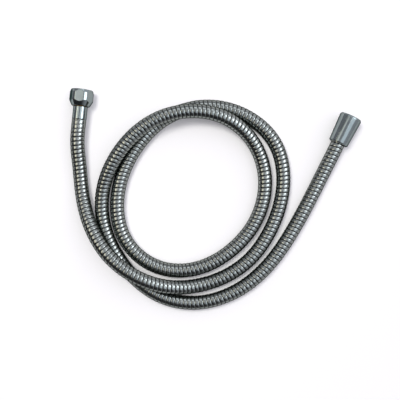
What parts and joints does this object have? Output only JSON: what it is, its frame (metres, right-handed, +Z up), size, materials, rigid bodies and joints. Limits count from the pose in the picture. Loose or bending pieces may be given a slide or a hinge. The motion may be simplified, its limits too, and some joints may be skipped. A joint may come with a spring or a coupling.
{
  "type": "shower hose",
  "caption": "Metal-jacketed shower hose in a loose coil, with a hexagonal nut on one end and a tapered grip nut on the other.",
  "frame": {"origin": "on the table, under the middle of the coiled hose and its two nuts", "axes": "+Z up from the table; +X from the hexagonal nut's side towards the grip nut's side; both nuts point roughly along +Y"},
  "size_m": [0.2982, 0.2263, 0.0297],
  "materials": {
    "jacket_steel": "polished",
    "chromed_brass": "polished",
    "turned_brass": "satin",
    "washer_rubber": "matte",
    "tube_pvc": "gloss"
  },
  "bodies": {
    "hose": {"spiral_jacket": "jacket_steel", "inner_tube": "tube_pvc", "hex_end_ferrule": "chromed_brass", "hex_end_insert": "turned_brass", "grip_end_ferrule": "chromed_brass", "grip_end_insert": "turned_brass"},
    "hex_coupling": {"hex_nut": "chromed_brass", "hex_end_washer": "washer_rubber"},
    "grip_coupling": {"grip_nut": "chromed_brass", "grip_end_washer": "washer_rubber"}
  },
  "joints": [
    {"name": "hex_nut_swivel", "type": "hinge", "parent": "hose", "child": "hex_coupling", "pos_m": [-0.13703, 0.10473, 0.01125], "axis": [0.1045, 0.9945, 0], "continuous": true},
    {"name": "grip_nut_swivel", "type": "hinge", "parent": "hose", "child": "grip_coupling", "pos_m": [0.13256, 0.0722, 0.01081], "axis": [0.4378, 0.8976, 0.0522], "continuous": true}
  ]
}
